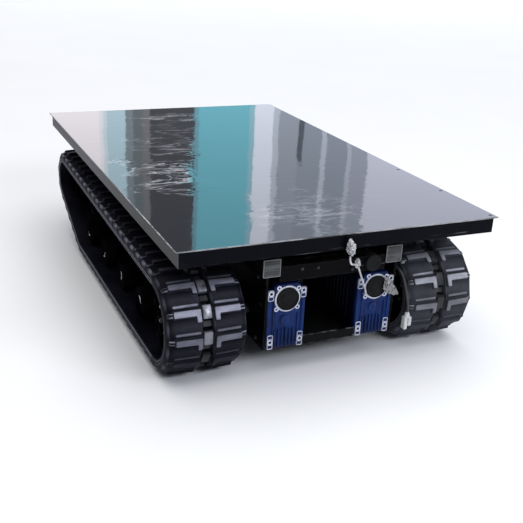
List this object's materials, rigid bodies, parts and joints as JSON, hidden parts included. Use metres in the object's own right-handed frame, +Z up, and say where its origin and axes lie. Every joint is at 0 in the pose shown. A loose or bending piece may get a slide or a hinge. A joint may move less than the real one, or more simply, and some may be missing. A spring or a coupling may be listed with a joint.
{
  "type": "tracked chassis",
  "caption": "Low electric crawler chassis: flat sheet deck on a tube frame, rubber belts with toothed sprockets, worm gearboxes, road wheels and sliding idler tensioners.",
  "frame": {"origin": "on the ground, under the centre of the deck", "axes": "+X to the chassis's right as seen from its front, -Y is the front, +Z up"},
  "size_m": [0.8, 1.339, 0.36],
  "materials": {
    "gloss_black": "gloss film",
    "painted_frame": "satin black paint",
    "rubber": "worn matte rubber",
    "blue_casting": "blue enamel on a casting",
    "steel": "machined",
    "bronze": "machined bronze",
    "grey_plastic": "moulded",
    "black_plastic": "moulded",
    "pale_lead": "pale plastic under clear film"
  },
  "bodies": {
    "chassis": {"battery_pack": "black_plastic", "belly_pan": "painted_frame", "bolster_front": "painted_frame", "bolster_rear": "painted_frame", "brake_lead": "black_plastic", "brake_lead_plug": "pale_lead", "chassis_rail_left": "painted_frame", "chassis_rail_right": "painted_frame", "deck_joist": "painted_frame", "deck_plate": "gloss_black", "deck_rim_front": "painted_frame", "deck_rim_left": "painted_frame", "deck_rim_rear": "painted_frame", "deck_rim_right": "painted_frame", "front_apron": "painted_frame", "front_cross_tube": "painted_frame", "gearbox_housing_left": "blue_casting", "gearbox_housing_right": "blue_casting", "hull_side_plate_left": "painted_frame", "hull_side_plate_right": "painted_frame", "motor_controller": "grey_plastic", "motor_left": "painted_frame", "motor_right": "painted_frame", "rail_cap_front_left": "grey_plastic", "rail_cap_front_right": "grey_plastic", "rail_cap_rear_left": "grey_plastic", "rail_cap_rear_right": "grey_plastic", "rear_plate": "painted_frame", "rim_connector": "pale_lead", "signal_lead": "pale_lead", "tension_stud_left": "steel", "tension_stud_right": "steel", "track_belt_left": "rubber", "track_belt_right": "rubber", "track_frame_left": "painted_frame", "track_frame_right": "painted_frame", "worm_cap_left": "black_plastic", "worm_cap_right": "black_plastic"},
    "drive_left": {"drive_sprocket_left": "steel", "output_shaft_left": "steel", "worm_wheel_left": "bronze"},
    "worm_left": {"worm_shaft_left": "steel"},
    "tensioner_left": {"tension_slide_left": "painted_frame"},
    "idler_wheel_left": {"idler_left": "steel"},
    "carrier_left": {"carrier_roller_left": "rubber"},
    "wheel_left_1": {"road_wheel_left_1": "rubber"},
    "wheel_left_2": {"road_wheel_left_2": "rubber"},
    "wheel_left_3": {"road_wheel_left_3": "rubber"},
    "wheel_left_4": {"road_wheel_left_4": "rubber"},
    "drive_right": {"drive_sprocket_right": "steel", "output_shaft_right": "steel", "worm_wheel_right": "bronze"},
    "worm_right": {"worm_shaft_right": "steel"},
    "tensioner_right": {"tension_slide_right": "painted_frame"},
    "idler_wheel_right": {"idler_right": "steel"},
    "carrier_right": {"carrier_roller_right": "rubber"},
    "wheel_right_1": {"road_wheel_right_1": "rubber"},
    "wheel_right_2": {"road_wheel_right_2": "rubber"},
    "wheel_right_3": {"road_wheel_right_3": "rubber"},
    "wheel_right_4": {"road_wheel_right_4": "rubber"}
  },
  "joints": [
    {"name": "sprocket_spin_left", "type": "hinge", "parent": "chassis", "child": "drive_left", "pos_m": [-0.305, -0.492, 0.13], "axis": [1, 0, 0], "continuous": true, "deforming": ["track_belt_left"]},
    {"name": "worm_spin_left", "type": "hinge", "parent": "chassis", "child": "worm_left", "pos_m": [-0.1155, -0.492, 0.195], "axis": [0, 1, 0], "continuous": true},
    {"name": "tension_left", "type": "slide", "parent": "chassis", "child": "tensioner_left", "axis": [0, 1, 0], "range_m": [-0.02, 0]},
    {"name": "idler_spin_left", "type": "hinge", "parent": "tensioner_left", "child": "idler_wheel_left", "pos_m": [-0.305, 0.47852, 0.18499], "axis": [1, 0, 0], "continuous": true},
    {"name": "carrier_spin_left", "type": "hinge", "parent": "chassis", "child": "carrier_left", "pos_m": [-0.305, 0, 0.20349], "axis": [1, 0, 0], "continuous": true},
    {"name": "wheel_spin_left_1", "type": "hinge", "parent": "chassis", "child": "wheel_left_1", "pos_m": [-0.305, -0.28, 0.0815], "axis": [1, 0, 0], "continuous": true},
    {"name": "wheel_spin_left_2", "type": "hinge", "parent": "chassis", "child": "wheel_left_2", "pos_m": [-0.305, -0.1, 0.0815], "axis": [1, 0, 0], "continuous": true},
    {"name": "wheel_spin_left_3", "type": "hinge", "parent": "chassis", "child": "wheel_left_3", "pos_m": [-0.305, 0.08, 0.0815], "axis": [1, 0, 0], "continuous": true},
    {"name": "wheel_spin_left_4", "type": "hinge", "parent": "chassis", "child": "wheel_left_4", "pos_m": [-0.305, 0.26, 0.0815], "axis": [1, 0, 0], "continuous": true},
    {"name": "sprocket_spin_right", "type": "hinge", "parent": "chassis", "child": "drive_right", "pos_m": [0.305, -0.492, 0.13], "axis": [1, 0, 0], "continuous": true, "deforming": ["track_belt_right"]},
    {"name": "worm_spin_right", "type": "hinge", "parent": "chassis", "child": "worm_right", "pos_m": [0.1155, -0.492, 0.195], "axis": [0, 1, 0], "continuous": true},
    {"name": "tension_right", "type": "slide", "parent": "chassis", "child": "tensioner_right", "axis": [0, 1, 0], "range_m": [-0.02, 0]},
    {"name": "idler_spin_right", "type": "hinge", "parent": "tensioner_right", "child": "idler_wheel_right", "pos_m": [0.305, 0.47852, 0.18499], "axis": [1, 0, 0], "continuous": true},
    {"name": "carrier_spin_right", "type": "hinge", "parent": "chassis", "child": "carrier_right", "pos_m": [0.305, 0, 0.20349], "axis": [1, 0, 0], "continuous": true},
    {"name": "wheel_spin_right_1", "type": "hinge", "parent": "chassis", "child": "wheel_right_1", "pos_m": [0.305, -0.28, 0.0815], "axis": [1, 0, 0], "continuous": true},
    {"name": "wheel_spin_right_2", "type": "hinge", "parent": "chassis", "child": "wheel_right_2", "pos_m": [0.305, -0.1, 0.0815], "axis": [1, 0, 0], "continuous": true},
    {"name": "wheel_spin_right_3", "type": "hinge", "parent": "chassis", "child": "wheel_right_3", "pos_m": [0.305, 0.08, 0.0815], "axis": [1, 0, 0], "continuous": true},
    {"name": "wheel_spin_right_4", "type": "hinge", "parent": "chassis", "child": "wheel_right_4", "pos_m": [0.305, 0.26, 0.0815], "axis": [1, 0, 0], "continuous": true}
  ],
  "couplings": [
    {"joint": "worm_spin_left", "follows": "sprocket_spin_left", "ratio": 30},
    {"joint": "idler_spin_left", "follows": "sprocket_spin_left", "ratio": 1.5784},
    {"joint": "carrier_spin_left", "follows": "sprocket_spin_left", "ratio": 4.3406},
    {"joint": "wheel_spin_left_1", "follows": "sprocket_spin_left", "ratio": 2.4485},
    {"joint": "wheel_spin_left_2", "follows": "sprocket_spin_left", "ratio": 2.4485},
    {"joint": "wheel_spin_left_3", "follows": "sprocket_spin_left", "ratio": 2.4485},
    {"joint": "wheel_spin_left_4", "follows": "sprocket_spin_left", "ratio": 2.4485},
    {"joint": "worm_spin_right", "follows": "sprocket_spin_right", "ratio": 30},
    {"joint": "idler_spin_right", "follows": "sprocket_spin_right", "ratio": 1.5784},
    {"joint": "carrier_spin_right", "follows": "sprocket_spin_right", "ratio": 4.3406},
    {"joint": "wheel_spin_right_1", "follows": "sprocket_spin_right", "ratio": 2.4485},
    {"joint": "wheel_spin_right_2", "follows": "sprocket_spin_right", "ratio": 2.4485},
    {"joint": "wheel_spin_right_3", "follows": "sprocket_spin_right", "ratio": 2.4485},
    {"joint": "wheel_spin_right_4", "follows": "sprocket_spin_right", "ratio": 2.4485}
  ]
}
